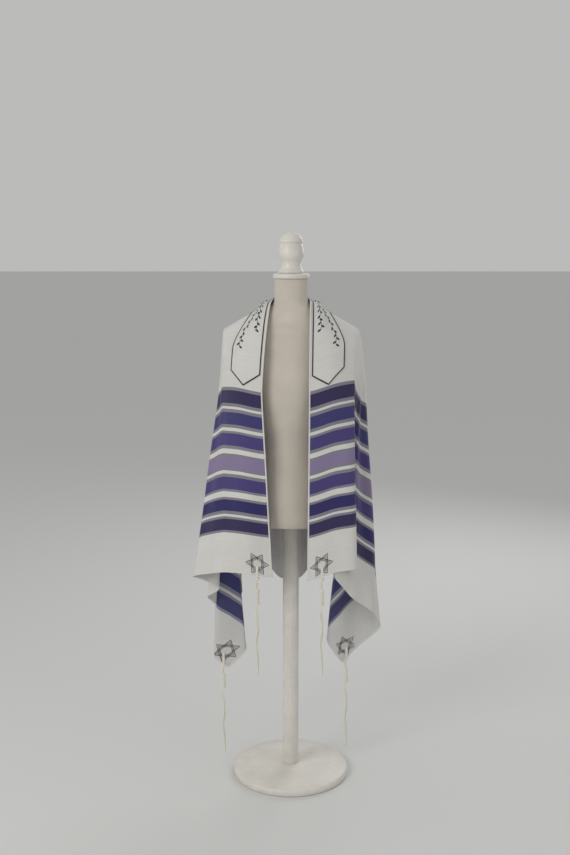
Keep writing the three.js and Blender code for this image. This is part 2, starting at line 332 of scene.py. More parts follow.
@dataclass(frozen=True)
class Yarn:
    """Twisted yarn or satin stitches, with ridges across its own length, painted shade in the grooves
    between them and a painted highlight on their crests.
    """

    name: str
    colour: tuple[float, float, float]
    ridge: float
    roughness: float = 0.8
    fuzz_scale: float = 900.0
    bump_depth: float = 0.0004

    def make(self) -> bpy.types.Material:
        """Makes the material: the first UV axis runs along the yarn, in metres.

        Returns:
            The material.
        """
        nodes = Nodes(self.name, self.roughness, 0.3)
        flat = nodes.add("ShaderNodeUVMap", {"uv_map": "flat"})
        along = nodes.add("ShaderNodeSeparateXYZ", {}, {0: flat})
        across = Value(nodes, along.socket.node.outputs[1])
        twist = (along * (TAU / self.ridge) + across * TAU).sine() * 0.5 + 0.5
        place = nodes.add("ShaderNodeTexCoord", {}, {}, "Object")
        fuzz = nodes.noise(place, self.fuzz_scale, 3.0)
        # The colour follows the twist: painted shade in the grooves between the ridges and a painted
        # highlight on their crests, with the fuzz as random tone.
        light = tuple(min(c * 1.12, 1.0) for c in self.colour)
        dark = tuple(c * 0.72 for c in self.colour)
        colour = nodes.ramp(twist * 0.7 + fuzz * 0.3, ((0.1, dark), (0.7, light)))
        return nodes.finish(colour, twist + fuzz * 0.6, self.bump_depth)


@dataclass(frozen=True)
class Jersey:
    """Cream cotton jersey, a fine knit stretched over the form."""

    colour: tuple[float, float, float] = linear(214, 205, 192)
    rib_width: float = 0.0016
    loop_height: float = 0.0013
    patch_scale: float = 16.0
    bump_depth: float = 0.0003

    def make(self) -> bpy.types.Material:
        """Makes the material from the piece's flat places round and up the form.

        Returns:
            The material.
        """
        nodes = Nodes("cream_jersey", 0.85, 0.35)
        flat = nodes.add("ShaderNodeUVMap", {"uv_map": "flat"})
        around = nodes.add("ShaderNodeSeparateXYZ", {}, {0: flat})
        up = Value(nodes, around.socket.node.outputs[1])
        rib = (around * (TAU / self.rib_width)).sine().size()
        loops = (up * (TAU / self.loop_height) + rib * 1.6).sine() * 0.5 + 0.5
        place = nodes.add("ShaderNodeTexCoord", {}, {}, "Object")
        soft = nodes.noise(place, self.patch_scale, 4.0)
        dark = tuple(c * 0.92 for c in self.colour)
        colour = nodes.ramp(soft, ((0.3, dark), (0.7, self.colour)))
        return nodes.finish(colour, rib * 0.6 + loops * 0.5, self.bump_depth)


@dataclass(frozen=True)
class PaintedWood:
    """Off-white satin paint brushed over turned wood."""

    colour: tuple[float, float, float] = linear(226, 222, 214)
    grain_scale: tuple[float, float, float] = (260.0, 260.0, 18.0)
    wear_scale: float = 22.0
    bump_depth: float = 0.00025

    def make(self) -> bpy.types.Material:
        """Makes the material, with faint grain under the paint.

        Returns:
            The material.
        """
        nodes = Nodes("painted_wood", 0.4)
        place = nodes.add("ShaderNodeTexCoord", {}, {}, "Object")
        stretched = nodes.add("ShaderNodeMapping", {}, {"Vector": place, "Scale": self.grain_scale})
        grain = nodes.noise(stretched, 1.0, 4.0)
        wear = nodes.noise(place, self.wear_scale, 5.0)
        dark = tuple(c * 0.86 for c in self.colour)
        colour = nodes.ramp(wear * 0.6 + grain * 0.4, ((0.32, dark), (0.62, self.colour)))
        rough = wear * 0.25 + 0.3
        return nodes.finish(colour, grain, self.bump_depth, rough)


# ------------------------------------------------------------------ mesh helpers
Places = np.ndarray


def new_piece(name: str, mesh: bmesh.types.BMesh, materials: Sequence[bpy.types.Material],
              replaces: Sequence[str] = ()) -> bpy.types.Object:
    """Makes an object of a finished bmesh and hangs it on the part's one body.

    Args:
        name: the piece's name.
        mesh: its shape, which is freed.
        materials: its material slots.
        replaces: the CAD nodes it stands for.

    Returns:
        The object.
    """
    data = bpy.data.meshes.new(name)
    mesh.to_mesh(data)
    mesh.free()
    data.polygons.foreach_set("use_smooth", [True] * len(data.polygons))
    for material in materials:
        data.materials.append(material)
    piece = bpy.data.objects.new(name, data)
    bpy.context.collection.objects.link(piece)
    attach(piece, "root")
    if replaces:
        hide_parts(*replaces)
    log.info("%s: %d faces", name, len(data.polygons))
    return piece


def grid_mesh(places: Places, flat: Places, weld: float = 1e-6) -> bmesh.types.BMesh:
    """Lays a create_grid sheet over a lattice of places.

    Args:
        places: positions, columns by rows by 3.
        flat: the lattice's flat places, columns by rows by 2, kept as the UV map "flat".
        weld: the distance within which corners are merged.

    Returns:
        The mesh, with its normals as the lattice's columns cross its rows.
    """
    columns, rows = places.shape[:2]
    mesh = bmesh.new()
    uv = mesh.loops.layers.uv.new("flat")
    bmesh.ops.create_grid(mesh, x_segments=columns - 1, y_segments=rows - 1, size=1.0)
    for vertex in mesh.verts:
        i = round((vertex.co.x + 1) / 2 * (columns - 1))
        j = round((vertex.co.y + 1) / 2 * (rows - 1))
        vertex.index = i * rows + j
    flat_list = flat.reshape(-1, 2).tolist()
    for face in mesh.faces:
        for loop in face.loops:
            loop[uv].uv = flat_list[loop.vert.index]
    place_list = places.reshape(-1, 3).tolist()
    for vertex in mesh.verts:
        vertex.co = place_list[vertex.index]
    bmesh.ops.remove_doubles(mesh, verts=mesh.verts, dist=weld)
    return mesh


def capped(mesh: bmesh.types.BMesh) -> bmesh.types.BMesh:
    """Closes a mesh's open ends and turns its faces outwards.

    Args:
        mesh: the mesh, which is changed.

    Returns:
        The same mesh.
    """
    rims = [edge for edge in mesh.edges if edge.is_boundary]
    bmesh.ops.holes_fill(mesh, edges=rims)
    bmesh.ops.recalc_face_normals(mesh, faces=mesh.faces)
    return mesh


def run_along(path: Places) -> Places:
    """Distances along a path from its start to each of its points."""
    return np.concatenate(([0.0], np.cumsum(np.linalg.norm(np.diff(path, axis=0), axis=1))))


def wall_of(cloth: bpy.types.Object, thickness: float, inner_slot: int = 0) -> None:
    """Gives a sheet its thickness, half on each side.

    Args:
        cloth: the sheet's object.
        thickness: how thick it becomes.
        inner_slot: which material slot its inner face and rim take.
    """
    wall = cloth.modifiers.new("wall", "SOLIDIFY")
    wall.thickness = thickness
    wall.offset = 0.0
    wall.material_offset = inner_slot


def soft_edges(piece: bpy.types.Object, width: float, segments: int, angle: float) -> bpy.types.Object:
    """Rounds a piece's sharper edges.

    Args:
        piece: the piece.
        width: how wide the rounding is.
        segments: how many steps it has.
        angle: the least angle of an edge that is rounded, in degrees.

    Returns:
        The same piece.
    """
    bevel = piece.modifiers.new("edges", "BEVEL")
    bevel.width = width
    bevel.segments = segments
    bevel.limit_method = "ANGLE"
    bevel.angle_limit = math.radians(angle)
    return piece


def facing_out(sheet: bmesh.types.BMesh) -> bmesh.types.BMesh:
    """Turns a sheet that hangs round the form so that its faces look away from the form.

    Args:
        sheet: the sheet, which is changed.

    Returns:
        The same sheet.
    """
    bmesh.ops.recalc_face_normals(sheet, faces=sheet.faces)
    outward = 0.0
    for face in sheet.faces:
        centre = face.calc_center_median()
        outward += face.calc_area() * (face.normal.x * centre.x + face.normal.y * centre.y)
    if outward < 0:
        bmesh.ops.reverse_faces(sheet, faces=sheet.faces)
    return sheet


def tube_mesh(path: Places, radius: Callable[[float], float] | float, sides: int = 8) -> bmesh.types.BMesh:
    """A round tube with closed ends along a path, its UV running along it in metres.

    Args:
        path: points, n by 3.
        radius: the radius, or a function of the share of the way along.
        sides: how many sides the tube has.

    Returns:
        The mesh.
    """
    count = len(path)
    tangents = np.gradient(path, axis=0)
    tangents /= np.linalg.norm(tangents, axis=1)[:, None]
    side = np.cross(tangents[0], (0.31, 0.92, 0.24))
    length = run_along(path)
    places = np.zeros((count, sides + 1, 3))
    flat = np.zeros((count, sides + 1, 2))
    turns = np.linspace(0, TAU, sides + 1)
    for n in range(count):
        side = side - tangents[n] * side.dot(tangents[n])
        side /= np.linalg.norm(side)
        other = np.cross(tangents[n], side)
        reach = radius(n / (count - 1)) if callable(radius) else radius
        places[n] = path[n] + reach * (np.cos(turns)[:, None] * side + np.sin(turns)[:, None] * other)
        flat[n, :, 0] = length[n]
        flat[n, :, 1] = turns / TAU
    places[:, -1] = places[:, 0]
    return capped(grid_mesh(places, flat))


def joined(meshes: Sequence[bmesh.types.BMesh]) -> bmesh.types.BMesh:
    """Puts several meshes in one.

    Args:
        meshes: the meshes, which are freed.

    Returns:
        The one mesh.
    """
    whole = bmesh.new()
    whole.loops.layers.uv.new("flat")
    for mesh in meshes:
        data = bpy.data.meshes.new("strand")
        mesh.to_mesh(data)
        mesh.free()
        whole.from_mesh(data)
        bpy.data.meshes.remove(data)
    return whole


def turned_mesh(profile: Sequence[tuple[float, float]], steps: int = 96) -> bmesh.types.BMesh:
    """Spins a profile of radius and height, in metres, into a closed turned shape.

    Args:
        profile: radius and height of each point, from axis to axis.
        steps: how many steps the turn takes.

    Returns:
        The mesh.
    """
    mesh = bmesh.new()
    mesh.loops.layers.uv.new("flat")
    line = [mesh.verts.new((radius, 0, height)) for radius, height in profile]
    edges = [mesh.edges.new(pair) for pair in zip(line, line[1:])]
    bmesh.ops.spin(mesh, geom=line + edges, axis=(0, 0, 1), cent=(0, 0, 0), angle=TAU, steps=steps,
                   use_merge=True)
    bmesh.ops.remove_doubles(mesh, verts=mesh.verts, dist=1e-6)
    bmesh.ops.recalc_face_normals(mesh, faces=mesh.faces)
    return mesh


def rounded(points: Sequence[tuple[float, ...]], parts: int) -> Places:
    """A smooth curve through some points.

    Args:
        points: what the curve goes through, in any number of dimensions.
        parts: how many steps it takes between each two.

    Returns:
        The curve's points, one row each.
    """
    rows = np.array(points, dtype=float)
    before = np.vstack((rows[:1] * 2 - rows[1:2], rows, rows[-1:] * 2 - rows[-2:-1]))
    curve = []
    for k in range(len(rows) - 1):
        a, b, c, d = before[k:k + 4]
        for n in range(parts):
            f = n / parts
            curve.append(0.5 * (2 * b + (c - a) * f + (2 * a - 5 * b + 4 * c - d) * f ** 2
                                + (3 * b - a - 3 * c + d) * f ** 3))
    curve.append(rows[-1])
    return np.array(curve)


# ------------------------------------------------------------------ the draped surface
# One row for each crest or hollow of the hanging cloth, in millimetres, from a front edge
# round the side to the back: reach round the cloth, place at chest height, place low down,
# and the cloth that small gathers on the shoulder take up.
LEFT_FALLS = (
    (0, 90, -128, 57, -145, -6), (80, 163, -112, 136, -150, 3), (160, 210, -62, 210, -138, 14),
    (225, 217, -44, 262, -110, 12), (290, 221, -30, 312, -74, 4), (350, 219, -17, 276, -36, 0),
    (420, 214, -4, 232, -34, 0), (530, 222, 14, 262, 12, 0), (640, 216, 32, 222, 64, 0),
    (710, 208, 46, 184, 82, 0), (780, 222, 54, 242, 44, 0), (820, 214, 64, 199, 48, 0),
    (856, 207, 72, 166, 62, 0), (940, 218, 86, 246, 124, 0), (1040, 192, 94, 168, 128, 0),
    (1130, 192, 114, 232, 196, 0), (1225, 164, 112, 140, 166, 0), (1320, 156, 134, 166, 238, 0),
    (1415, 124, 126, 104, 176, 0), (1510, 78, 135, 72, 214, 0), (1575, 38, 128, 34, 182, 0),
)
RIGHT_FALLS = (
    (0, 54, -130, 50, -164, -10), (80, 128, -124, 128, -166, 2), (160, 190, -92, 206, -146, 12),
    (220, 196, -78, 176, -104, 10), (290, 203, -61, 150, -54, 7), (390, 212, -38, 146, 20, 4),
    (500, 223, -13, 196, -22, 2), (580, 231, 5, 244, 8, 0), (660, 238, 24, 280, 46, 0),
    (725, 236, 44, 278, 84, 0), (780, 224, 56, 226, 92, 0), (820, 214, 62, 182, 70, 0),
    (880, 208, 76, 154, 88, 0), (970, 214, 88, 236, 146, 0), (1060, 188, 98, 160, 142, 0),
    (1150, 186, 116, 216, 210, 0), (1240, 160, 114, 134, 170, 0), (1330, 150, 136, 154, 240, 0),
    (1420, 122, 126, 98, 180, 0), (1515, 76, 136, 66, 212, 0), (1580, 34, 128, 30, 184, 0),
)
BACK_CENTRE = (0, 134, 0, 196, 0)


@dataclass(frozen=True)
class Creases:
    """One family of soft creases: a wave across the cloth that wanders down it."""

    rate: float
    phase: float
    wander: float
    wander_rate: float
    wander_start: float
    height: float

    def rise(self, across: Places, down: Places, side: Places) -> Places:
        """How far the creases stand up.

        Args:
            across: places across them.
            down: places along them.
            side: -1 on the left and 1 on the right.

        Returns:
            Heights in metres.
        """
        stray = self.wander * np.sin(down * self.wander_rate + self.wander_start)
        return np.sin(across * self.rate + side * self.phase + stray) * self.height


FAN_CREASES = (Creases(46, 0.7, 1.1, 7, 0, 0.0030), Creases(29, -1.9, 0.8, 5, 2, 0.0042))
FRONT_CREASES = (Creases(52, 1, 1.4, 5, 0, 0.0020), Creases(31, 2, -1.1, 3.4, 1, 0.0026))
# Share squared times one less share is at most 4/27, so this brings its crest to 1.
CREST = 27 / 4


@dataclass(frozen=True)
class Drape:
    """The cloth's surface: each flat place hangs on a fall line from the neck or shoulder."""

    half_length: float = HALF_LENGTH
    width: float = 1.0
    neck_s: float = 0.1
    neck: tuple[float, float, float] = (0.059, 0.0, 1.573)
    neck_back: tuple[float, float] = (0.066, 1.588)
    tip_s: float = 0.21
    tip_t: float = 0.16
    tip: tuple[float, float, float] = (0.21, 0.004, 1.484)
    hollow: float = 0.006
    chest_z: float = 1.3
    low_z: float = 0.7
    fan_reach: float = 0.8
    bend: float = 0.06
    gather_length: float = 0.26
    gather_push: float = 0.055
    gather_fade: float = 0.12
    roll_t: float = 0.045
    roll_height: float = 0.0125
    roll_width: float = 0.020
    roll_start: float = 0.13
    roll_fade: float = 0.15
    valley_after: float = 0.046
    valley_width: float = 0.024
    valley_share: float = 0.22
    crease_fade: float = 0.08
    crease_growth: float = 0.5
    front_from: float = 0.32
    front_growth: float = 0.3
    strip_edge: float = 0.13
    strip_fade: float = 0.05
    longest_fall: float = 1.35
    first_step: float = 0.0005
    step_growth: float = 1.3
    longest_step: float = 0.008
    chunk: int = 6000

    @property
    def fan_end(self) -> float:
        """Reach at the back end of the fan."""
        return self.tip_t + self.fan_reach * math.pi / 2

    @property
    def half_reach(self) -> float:
        """Reach from a front edge to the centre of the back."""
        return self.fan_end + self.tip_s

    def rows(self) -> Places:
        """Every fall line in metres, from the left front edge to the right one.

        Returns:
            Reach, chest place, low place and gathers, n by 6.
        """
        left = [(r / 1000 - self.half_reach, -cx * MM, cy * MM, -lx * MM, ly * MM, c * MM)
                for r, cx, cy, lx, ly, c in LEFT_FALLS]
        right = [(self.half_reach - r / 1000, cx * MM, cy * MM, lx * MM, ly * MM, c * MM)
                 for r, cx, cy, lx, ly, c in RIGHT_FALLS]
        return np.array(left + [(0.0, *(v * MM for v in BACK_CENTRE))] + right[::-1])

    def lines(self, place: Places) -> Places:
        """The fall lines at some places along the reach, by cubic pieces.

        Args:
            place: reaches, 0 at the centre of the back.

        Returns:
            Chest and low places and the gathers, n by 5.
        """
        rows = self.rows()
        k = np.clip(np.searchsorted(rows[:, 0], place, side="left") - 1, 0, len(rows) - 2)
        a, b = rows[k], rows[k + 1]
        before, after = rows[np.maximum(k - 1, 0)], rows[np.minimum(k + 2, len(rows) - 1)]
        step = (b[:, 0] - a[:, 0])[:, None]
        f = (place - a[:, 0])[:, None] / step
        slope_a = (b - before) / (b[:, :1] - before[:, :1])
        slope_b = (after - a) / (after[:, :1] - a[:, :1])
        curve = ((2 * f ** 3 - 3 * f ** 2 + 1) * a + (f ** 3 - 2 * f ** 2 + f) * step * slope_a
                 + (3 * f ** 2 - 2 * f ** 3) * b + (f ** 3 - f ** 2) * step * slope_b)
        return curve[:, 1:]

    def ridge(self, f: Places) -> Places:
        """The shoulder line.

        Args:
            f: shares of the way from the neck, 0, to the tip, 1.

        Returns:
            Places on the right shoulder, n by 3.
        """
        start, end = np.array(self.neck), np.array(self.tip)
        line = start + (end - start) * f[:, None]
        line[:, 2] -= self.hollow * np.sin(np.pi * f) * (1 - f)
        return line

    def base(self, s: Places, t: Places) -> Places:
        """Places in space of flat places, by the fall lines alone.

        Args:
            s: distances along the cloth from the centre of the back.
            t: distances from the neck edge.

        Returns:
            Positions, n by 3.
        """
        parts = [self.base_chunk(s[n:n + self.chunk], t[n:n + self.chunk])
                 for n in range(0, len(s), self.chunk)]
        return np.vstack(parts)

    def base_chunk(self, s: Places, t: Places) -> Places:
        """Places in space of a moderate number of flat places.

        Args:
            s: distances along the cloth from the centre of the back.
            t: distances from the neck edge.

        Returns:
            Positions, n by 3.
        """
        t = np.maximum(t, 1e-5)
        a = np.abs(s)
        side = np.where(s < 0, -1.0, 1.0)
        share = np.clip(t / self.tip_t, 0, 1)
        ridge_s = self.neck_s + (self.tip_s - self.neck_s) * share
        strip = (t <= self.tip_t) & (a >= ridge_s)
        back = ~strip & (a < self.tip_s)
        across, along = t - self.tip_t, a - self.tip_s
        turn = np.arctan2(across, along)
        back_share = (a - self.neck_s) / (self.tip_s - self.neck_s)
        neck_turn = (1 - a / self.neck_s) * math.pi / 2
        collar = np.stack((self.neck[0] * np.cos(neck_turn), self.neck_back[0] * np.sin(neck_turn),
                           self.neck[2] + (self.neck_back[1] - self.neck[2]) * np.sin(neck_turn)), axis=1)
        on_collar = back & (back_share <= 0)
        reach = np.where(strip, t, np.where(back, self.half_reach - a,
                                            self.tip_t + self.fan_reach * turn))
        down = np.where(strip, a - ridge_s, np.where(
            back, np.where(on_collar, t, t - back_share * self.tip_t), np.hypot(across, along)))
        near = np.where(strip, share, np.where(back, np.clip(back_share, 0, 1), 1.0))
        top = self.ridge(near)
        top = np.where(on_collar[:, None], collar, top)
        top[:, 0] *= side
        line = self.lines(side * (self.half_reach - reach))
        taken = line[:, 4] * self.ease(down / self.gather_length)
        push = self.gather_push * CREST * near ** 2 * (1 - near) * (1 - self.ease(down / self.gather_fade))
        slope = np.array(self.neck) - self.tip
        up = slope / np.linalg.norm(slope) * np.stack((side, np.ones_like(side), np.ones_like(side)), axis=1)
        return self.hang(top, line, np.maximum(down - taken, 0)) + up * push[:, None]

    def ease(self, f: Places) -> Places:
        """A smooth step from 0 to 1."""
        f = np.clip(f, 0, 1)
        return f * f * (3 - 2 * f)

    def hang(self, top: Places, line: Places, length: Places) -> Places:
        """Follows each fall line down from its top by a length of cloth.

        Args:
            top: where the lines start, n by 3.
            line: the lines' chest and low places, n by 5.
            length: how much cloth hangs down each.

        Returns:
            Positions, n by 3.
        """
        steps = [0.0]
        step = self.first_step
        while steps[-1] < self.longest_fall:
            steps.append(steps[-1] + step)
            step = min(step * self.step_growth, self.longest_step)
        depth = np.array(steps)[None, :]
        height = top[:, 2:3] - depth
        q = np.clip(depth / (top[:, 2:3] - self.chest_z), 0, 1)
        arc = np.sqrt(1 - (1 - q) ** 2)
        below = self.chest_z - height
        hang = (below + np.hypot(below, self.bend)) / 2 / (self.chest_z - self.low_z)
        chest_x, chest_y, low_x, low_y = (line[:, n:n + 1] for n in range(4))
        x = top[:, :1] + (chest_x - top[:, :1]) * (q + arc) / 2 + (low_x - chest_x) * hang
        y = top[:, 1:2] + (chest_y - top[:, 1:2]) * arc + (low_y - chest_y) * hang
        run = np.sqrt(np.diff(x, axis=1) ** 2 + np.diff(y, axis=1) ** 2 + np.diff(height, axis=1) ** 2)
        run = np.concatenate((np.zeros((len(run), 1)), np.cumsum(run, axis=1)), axis=1)
        places = np.empty((len(top), 3))
        for n in range(len(top)):
            for axis, values in enumerate((x, y, height)):
                places[n, axis] = np.interp(length[n], run[n], values[n])
        return places

    def normals(self, s: Places, t: Places, step: float = 0.004) -> Places:
        """Outward normals at flat places.

        Args:
            s: distances along the cloth from the centre of the back.
            t: distances from the neck edge.
            step: how far apart the compared places are.

        Returns:
            Unit vectors, n by 3.
        """
        along = self.base(s + step, t) - self.base(s - step, t)
        across = self.base(s, t + step) - self.base(s, np.maximum(t - step, 0))
        normal = np.cross(along, across)
        return normal / np.maximum(np.linalg.norm(normal, axis=1)[:, None], 1e-9)

    def ripple(self, s: Places, t: Places) -> Places:
        """How far small soft creases stand off the fall lines' surface.

        Args:
            s: distances along the cloth from the centre of the back.
            t: distances from the neck edge.

        Returns:
            Heights in metres.
        """
        a = np.abs(s)
        side = np.where(s < 0, -1.0, 1.0)
        turn = np.arctan2(t - self.tip_t, np.maximum(a - self.tip_s, 1e-6))
        down = np.hypot(t - self.tip_t, a - self.tip_s)
        fan = self.ease((a - self.tip_s) / self.crease_fade) * self.ease((t - self.tip_t) / self.crease_fade)
        grow = self.ease(down / self.crease_growth)
        folds = sum(creases.rise(turn, down, side) for creases in FAN_CREASES)
        hanging = sum(creases.rise(t, a, side) for creases in FRONT_CREASES)
        front = self.ease((a - self.front_from) / self.front_growth)
        front = front * (1 - self.ease((t - self.strip_edge) / self.strip_fade))
        return fan * grow * folds + front * hanging + self.collar_roll(a, t)

    def collar_roll(self, a: Places, t: Places) -> Places:
        """The soft crest of the neck edge, which stands up against the neck and dies away below.

        Args:
            a: distances along the cloth from the centre of the back, without their sign.
            t: distances from the neck edge.

        Returns:
            Heights in metres.
        """
        fade = 1 - self.ease((a - self.roll_start) / self.roll_fade)
        crest = np.exp(-((t - self.roll_t) / self.roll_width) ** 2)
        valley = np.exp(-((t - self.roll_t - self.valley_after) / self.valley_width) ** 2)
        return fade * (self.roll_height * crest - self.valley_share * self.roll_height * valley)

    def surface(self, s: Places, t: Places, off: float | Places = 0.0) -> Places:
        """Places in space of flat places, with the creases and an offset outwards.

        Args:
            s: distances along the cloth from the centre of the back.
            t: distances from the neck edge.
            off: distance outwards from the cloth.

        Returns:
            Positions, n by 3.
        """
        s, t = np.asarray(s, dtype=float), np.asarray(t, dtype=float)
        normal = self.normals(s, t)
        return self.base(s, t) + normal * (self.ripple(s, t) + off)[:, None]


DRAPE = Drape()


def raised_line(flat_path: Places, width: float, height: float, floor: float,
                closed: bool = False, step: float = 0.003) -> bmesh.types.BMesh:
    """A rounded line of stitches lying on the cloth along a flat path.

    Args:
        flat_path: corners of the path on the flat cloth, n by 2.
        width: the line's width.
        height: how far it stands up.
        floor: its underside's distance from the cloth's middle.
        closed: whether the path comes back to its start.
        step: distance between its sections.

    Returns:
        The mesh.
    """
    corners = np.vstack((flat_path, flat_path[:1])) if closed else flat_path
    points = [corners[0]]
    for a, b in zip(corners, corners[1:]):
        count = max(int(np.linalg.norm(b - a) / step), 1)
        points += [a + (b - a) * (n + 1) / count for n in range(count)]
    line = np.array(points)
    tangent = np.gradient(line, axis=0)
    if closed:
        tangent[0] = tangent[-1] = line[1] - line[-2]
    tangent /= np.linalg.norm(tangent, axis=1)[:, None]
    across = np.stack((-tangent[:, 1], tangent[:, 0]), axis=1)
    arc = np.linspace(0, math.pi, 5)
    tucked, sunk = 0.6, 0.2
    offsets = np.concatenate((np.cos(arc) * width / 2, [-width / 2 * tucked, width / 2]))
    heights = np.concatenate((np.sin(arc) * height, [-height * sunk, 0.0]))
    sections = len(offsets)
    flat = line[:, None, :] + across[:, None, :] * offsets[None, :, None]
    off = np.tile(heights + floor, len(line))
    spots = flat.reshape(-1, 2)
    places = DRAPE.surface(spots[:, 0], spots[:, 1], off).reshape(len(line), sections, 3)
    uv = np.zeros((len(line), sections, 2))
    uv[:, :, 0] = run_along(line)[:, None]
    uv[:, :, 1] = np.linspace(0, 1, sections)[None, :]
    return capped(grid_mesh(places, uv))


# ------------------------------------------------------------------ the shawl
@dataclass
class Shawl:
    """The woven rectangle, its rolled hem and its corner stars."""

    thickness: float = 0.0011
    strip_columns: int = 20
    fan_columns: int = 140
    collar_columns: int = 24
    down_rows: int = 104
    hem_width: float = 0.0055
    hem_height: float = 0.0017
    hem_step: float = 0.008
    star_radius: float = 0.0362
    star_from_hem: float = 0.038
    star_from_edge: float = 0.046
    star_inner: float = 0.74
    star_widths: tuple[float, float, float] = (0.0022, 0.0017, 0.0003)
    star_zigzags: int = 6
    star_step: float = 0.004
    stitch_height: float = 0.0005

    def flat_lattice(self) -> Places:
        """Flat places, a column for each fall line and a row for each step down it.

        Returns:
            The lattice, columns by rows by 2.
        """
        drape = DRAPE
        shares = np.linspace(0, 1, self.strip_columns + 1)
        turns = np.linspace(0, math.pi / 2, self.fan_columns + 1)[1:]
        ridge = [(drape.neck_s + (drape.tip_s - drape.neck_s) * f, f * drape.tip_t) for f in shares]
        starts, ends = [], []
        for s, t in ridge:
            starts.append((s, t))
            ends.append((drape.half_length, t))
        for turn in turns:
            along, across = drape.half_length - drape.tip_s, drape.width - drape.tip_t
            whole = min(along / max(math.cos(turn), 1e-9), across / math.sin(turn))
            starts.append((drape.tip_s, drape.tip_t))
            ends.append((drape.tip_s + whole * math.cos(turn), drape.tip_t + whole * math.sin(turn)))
        for s, t in ridge[-2::-1]:
            starts.append((s, t))
            ends.append((s, drape.width))
        half = self.collar_columns // 2
        for n in range(half - 1, -1, -1):
            starts.append((drape.neck_s * n / half, 0.0))
            ends.append((drape.neck_s * n / half, drape.width))
        right = np.array([starts, ends]).transpose(1, 0, 2)
        left = right[:-1] * np.array((-1.0, 1.0))
        columns = np.concatenate((left, right[::-1]))
        f = np.linspace(0, 1, self.down_rows + 1)[None, :, None]
        return columns[:, :1] * (1 - f) + columns[:, 1:] * f

    def build(self) -> bpy.types.Object:
        """Returns:
            The object.
        """
        flat = self.flat_lattice()
        spots = flat.reshape(-1, 2)
        places = DRAPE.surface(spots[:, 0], spots[:, 1]).reshape(*flat.shape[:2], 3)
        apex = np.hypot(np.abs(flat[:, :, 0]) - DRAPE.tip_s, flat[:, :, 1] - DRAPE.tip_t) < 1e-6
        for side in (-1, 1):
            here = apex & (np.sign(flat[:, :, 0]) == side)
            places[here] = places[here].mean(axis=0)
        mesh = facing_out(grid_mesh(places, flat, weld=2e-5))
        woven = WovenCloth()
        cloth = new_piece("shawl_cloth", mesh, [woven.make(Face.RIGHT), woven.make(Face.WRONG)],
                          ["shawl"])
        wall_of(cloth, self.thickness, 1)
        extras = [self.hem(), self.stars()]
        return cloth

    def hem(self) -> bpy.types.Object:
        """The narrow rolled hem round all four edges.

        Returns:
            The object.
        """
        length, width, inset = DRAPE.half_length, DRAPE.width, self.hem_width / 2
        corners = np.array(((-length + inset, inset), (length - inset, inset),
                            (length - inset, width - inset), (-length + inset, width - inset)))
        outside = raised_line(corners, self.hem_width, self.hem_height, 0.0, True, self.hem_step)
        inside = raised_line(corners, self.hem_width, -self.hem_height, 0.0, True, self.hem_step)
        yarn = Yarn("hem_cloth", Dye.WHITE.value, 0.003, 0.7)
        return new_piece("rolled_hem", joined([outside, inside]), [yarn.make()])

    def stars(self) -> bpy.types.Object:
        """The embroidered star round each corner's hole.

        Returns:
            The object.
        """
        meshes = []
        for s_side in (-1, 1):
            for t in (self.star_from_edge, DRAPE.width - self.star_from_edge):
                centre = np.array((s_side * (DRAPE.half_length - self.star_from_hem), t))
                meshes += self.star(centre)
        thread = Yarn("grey_thread", linear(50, 48, 52), 0.0008)
        return new_piece("corner_stars", joined(meshes), [thread.make()])

    def star(self, centre: Places) -> list[bmesh.types.BMesh]:
        """Two crossed triangles, each of two outlines with a zigzag between them.

        Args:
            centre: the star's flat place.

        Returns:
            The lines of stitches, on both faces of the cloth.
        """
        meshes = []
        for flip in (0.0, math.pi):
            outline = self.triangle(centre, self.star_radius, flip)
            inline = self.triangle(centre, self.star_radius * self.star_inner, flip)
            zigzag = []
            for n in range(3):
                for k in range(self.star_zigzags):
                    ring = outline if k % 2 else inline
                    share = (k + 0.5) / self.star_zigzags
                    zigzag.append(ring[n] + (ring[(n + 1) % 3] - ring[n]) * share)
            for path, width in zip((outline, inline, np.array(zigzag)), self.star_widths):
                for face in (1, -1):
                    meshes.append(raised_line(path, width, face * self.stitch_height,
                                              face * self.thickness / 2, True, self.star_step))
        return meshes

    def triangle(self, centre: Places, radius: float, flip: float) -> Places:
        """A triangle's three flat corners, turned by flip."""
        turns = flip + np.arange(3) * TAU / 3
        return centre + radius * np.stack((np.sin(turns), np.cos(turns)), axis=1)


